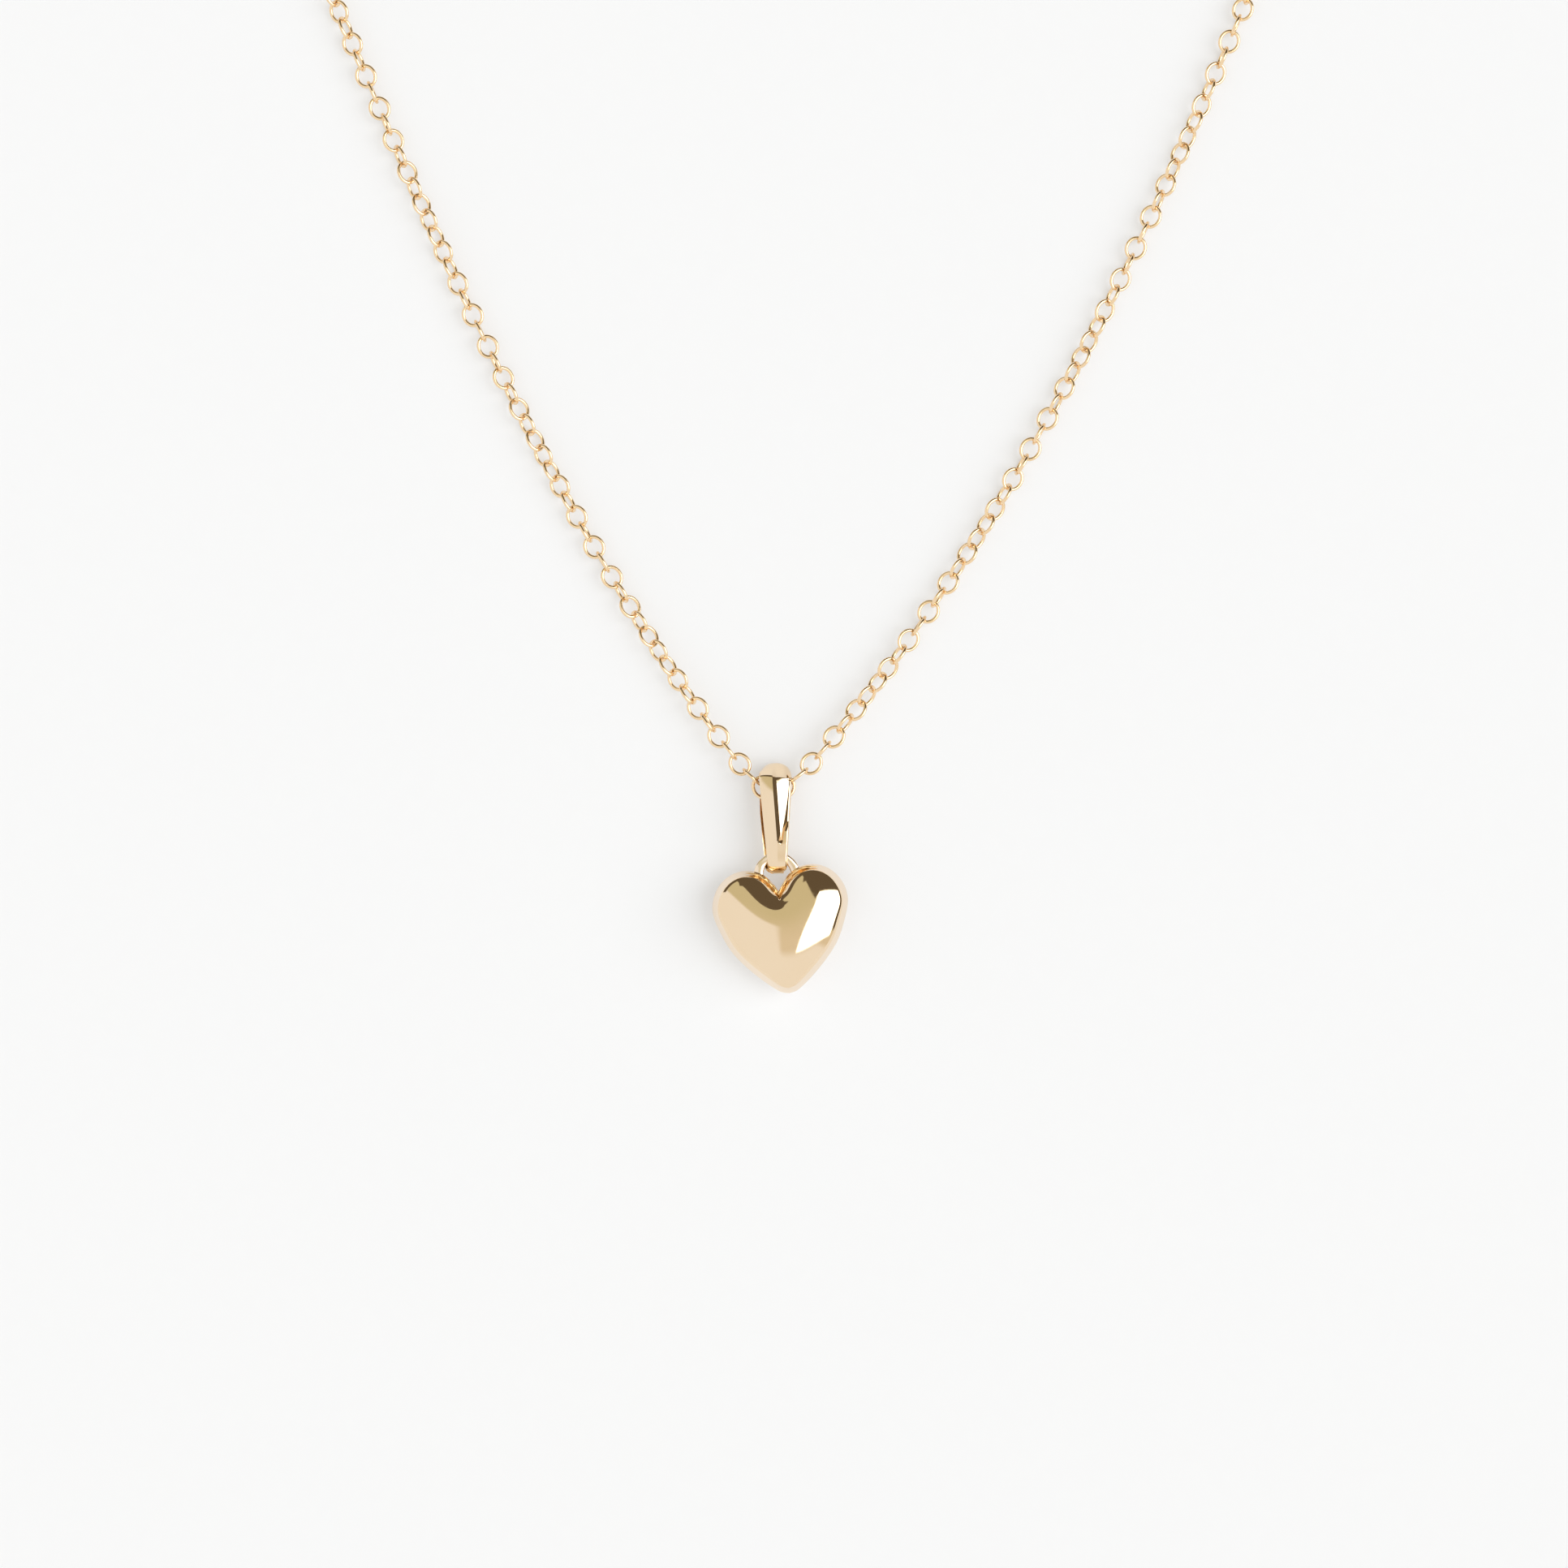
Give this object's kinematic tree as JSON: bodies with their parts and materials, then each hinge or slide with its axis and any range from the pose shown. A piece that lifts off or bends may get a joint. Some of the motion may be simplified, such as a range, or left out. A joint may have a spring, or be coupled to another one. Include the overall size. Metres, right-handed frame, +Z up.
{
  "type": "pendant necklace",
  "caption": "Fine cable-chain necklace lying open, with a hollow puffed heart hung from a long tapered bail and a spring-ring clasp.",
  "frame": {"origin": "on the table, under the middle of the necklace's footprint", "axes": "+Z up from the table, +Y from the heart towards the clasp, +X to the right with the heart's front up"},
  "size_m": [0.1553, 0.2018, 0.0034],
  "materials": {
    "heart_gold": "polished yellow gold, 14 ct",
    "bail_gold": "polished yellow gold, 14 ct",
    "chain_gold": "polished drawn gold wire, 14 ct",
    "clasp_gold": "polished yellow gold, 14 ct",
    "solder_gold": "polished yellow gold with solder at the joins",
    "spring_steel": "bright spring wire"
  },
  "bodies": {
    "chain_in_bail": {"chain_in_bail": "chain_gold"},
    "bail": {"bail": "bail_gold"},
    "heart": {"heart_front_shell": "heart_gold", "heart_back_shell": "heart_gold", "heart_loop": "solder_gold"},
    "chain_left_01": {"chain_left_01": "chain_gold"},
    "chain_left_02": {"chain_left_02": "chain_gold"},
    "chain_left_03": {"chain_left_03": "chain_gold"},
    "chain_left_04": {"chain_left_04": "chain_gold"},
    "chain_left_05": {"chain_left_05": "chain_gold"},
    "chain_left_06": {"chain_left_06": "chain_gold"},
    "chain_left_07": {"chain_left_07": "chain_gold"},
    "chain_left_08": {"chain_left_08": "chain_gold"},
    "chain_left_09": {"chain_left_09": "chain_gold"},
    "chain_left_10": {"chain_left_10": "chain_gold"},
    "chain_right_01": {"chain_right_01": "chain_gold"},
    "chain_right_02": {"chain_right_02": "chain_gold"},
    "chain_right_03": {"chain_right_03": "chain_gold"},
    "chain_right_04": {"chain_right_04": "chain_gold"},
    "chain_right_05": {"chain_right_05": "chain_gold"},
    "chain_right_06": {"chain_right_06": "chain_gold"},
    "chain_right_07": {"chain_right_07": "chain_gold"},
    "chain_right_08": {"chain_right_08": "chain_gold"},
    "chain_right_09": {"chain_right_09": "chain_gold"},
    "chain_right_10": {"chain_right_10": "chain_gold"},
    "clasp_jump_ring": {"clasp_jump_ring": "clasp_gold"},
    "clasp": {"clasp_shell": "clasp_gold", "clasp_eye": "clasp_gold", "clasp_spring": "spring_steel"},
    "clasp_bolt": {"clasp_bolt": "clasp_gold"},
    "end_ring": {"end_ring": "clasp_gold"}
  },
  "joints": [
    {"name": "bail_swing", "type": "hinge", "parent": "chain_in_bail", "child": "bail", "pos_m": [0.00219, -0.08792, 0.00115], "axis": [1, 0, 0], "range_deg": [-50, 50]},
    {"name": "heart_swing", "type": "hinge", "parent": "bail", "child": "heart", "pos_m": [0.00219, -0.09252, 0.0017], "axis": [0.9945, 0.1045, 0], "range_deg": [-60, 60]},
    {"name": "chain_left_01_bend", "type": "hinge", "parent": "chain_in_bail", "child": "chain_left_01", "pos_m": [0.00123, -0.08807, 0.00115], "axis": [0, 0, 1], "range_deg": [-25, 25]},
    {"name": "chain_left_02_bend", "type": "hinge", "parent": "chain_left_01", "child": "chain_left_02", "pos_m": [-0.00977, -0.07207, 0.00069], "axis": [0, 0, -1], "range_deg": [-30, 30]},
    {"name": "chain_left_03_lift", "type": "hinge", "parent": "chain_left_02", "child": "chain_left_03", "pos_m": [-0.01893, -0.05383, 0.00069], "axis": [0.9114, 0.4114, 0], "range_deg": [0, 30]},
    {"name": "chain_left_04_bend", "type": "hinge", "parent": "chain_left_03", "child": "chain_left_04", "pos_m": [-0.0265, -0.03602, 0.00069], "axis": [0, 0, 1], "range_deg": [-30, 30]},
    {"name": "chain_left_05_bend", "type": "hinge", "parent": "chain_left_04", "child": "chain_left_05", "pos_m": [-0.03351, -0.01798, 0.00069], "axis": [0, 0, -1], "range_deg": [-30, 30]},
    {"name": "chain_left_06_lift", "type": "hinge", "parent": "chain_left_05", "child": "chain_left_06", "pos_m": [-0.04061, 0.00117, 0.00069], "axis": [0.9396, 0.3423, 0], "range_deg": [0, 30]},
    {"name": "chain_left_07_bend", "type": "hinge", "parent": "chain_left_06", "child": "chain_left_07", "pos_m": [-0.04718, 0.01937, 0.00069], "axis": [0, 0, 1], "range_deg": [-30, 30]},
    {"name": "chain_left_08_bend", "type": "hinge", "parent": "chain_left_07", "child": "chain_left_08", "pos_m": [-0.05368, 0.03759, 0.00069], "axis": [0, 0, -1], "range_deg": [-30, 30]},
    {"name": "chain_left_09_lift", "type": "hinge", "parent": "chain_left_08", "child": "chain_left_09", "pos_m": [-0.06015, 0.05583, 0.00069], "axis": [0.9428, 0.3335, 0], "range_deg": [0, 30]},
    {"name": "chain_left_10_bend", "type": "hinge", "parent": "chain_left_09", "child": "chain_left_10", "pos_m": [-0.06695, 0.07509, 0.00069], "axis": [0, 0, 1], "range_deg": [-30, 30]},
    {"name": "chain_right_01_bend", "type": "hinge", "parent": "chain_in_bail", "child": "chain_right_01", "pos_m": [0.00313, -0.08796, 0.00115], "axis": [0, 0, 1], "range_deg": [-25, 25]},
    {"name": "chain_right_02_bend", "type": "hinge", "parent": "chain_right_01", "child": "chain_right_02", "pos_m": [0.01489, -0.07251, 0.00069], "axis": [0, 0, -1], "range_deg": [-30, 30]},
    {"name": "chain_right_03_lift", "type": "hinge", "parent": "chain_right_02", "child": "chain_right_03", "pos_m": [0.02464, -0.05458, 0.00069], "axis": [0.9022, -0.4313, 0], "range_deg": [0, 30]},
    {"name": "chain_right_04_bend", "type": "hinge", "parent": "chain_right_03", "child": "chain_right_04", "pos_m": [0.03244, -0.03687, 0.00069], "axis": [0, 0, 1], "range_deg": [-30, 30]},
    {"name": "chain_right_05_bend", "type": "hinge", "parent": "chain_right_04", "child": "chain_right_05", "pos_m": [0.03939, -0.01882, 0.00069], "axis": [0, 0, -1], "range_deg": [-30, 30]},
    {"name": "chain_right_06_lift", "type": "hinge", "parent": "chain_right_05", "child": "chain_right_06", "pos_m": [0.04618, 0.00045, 0.00069], "axis": [0.9466, -0.3224, 0], "range_deg": [0, 30]},
    {"name": "chain_right_07_bend", "type": "hinge", "parent": "chain_right_06", "child": "chain_right_07", "pos_m": [0.0523, 0.0188, 0.00069], "axis": [0, 0, 1], "range_deg": [-30, 30]},
    {"name": "chain_right_08_bend", "type": "hinge", "parent": "chain_right_07", "child": "chain_right_08", "pos_m": [0.05825, 0.03721, 0.00069], "axis": [0, 0, -1], "range_deg": [-30, 30]},
    {"name": "chain_right_09_lift", "type": "hinge", "parent": "chain_right_08", "child": "chain_right_09", "pos_m": [0.06409, 0.05566, 0.00069], "axis": [0.9539, -0.3, 0], "range_deg": [0, 30]},
    {"name": "chain_right_10_bend", "type": "hinge", "parent": "chain_right_09", "child": "chain_right_10", "pos_m": [0.07019, 0.07515, 0.00069], "axis": [0, 0, 1], "range_deg": [-30, 30]},
    {"name": "clasp_jump_ring_turn", "type": "hinge", "parent": "chain_left_10", "child": "clasp_jump_ring", "pos_m": [-0.07343, 0.09345, 0.0005], "axis": [0, 0, 1], "range_deg": [-50, 50]},
    {"name": "clasp_turn", "type": "hinge", "parent": "clasp_jump_ring", "child": "clasp", "pos_m": [-0.07375, 0.09437, 0.0005], "axis": [0, 0, 1], "range_deg": [-50, 50]},
    {"name": "clasp_bolt_travel", "type": "hinge", "parent": "clasp", "child": "clasp_bolt", "pos_m": [-0.07488, 0.09757, 0.0005], "axis": [0, 0, -1], "range_deg": [0, 62], "stiffness_Nm_per_rad": 0.0025, "springref_deg": -17.19, "deforming": ["clasp_spring"]},
    {"name": "end_ring_turn", "type": "hinge", "parent": "chain_right_10", "child": "end_ring", "pos_m": [0.07597, 0.09374, 0.0005], "axis": [0, 0, 1], "range_deg": [-50, 50]}
  ]
}
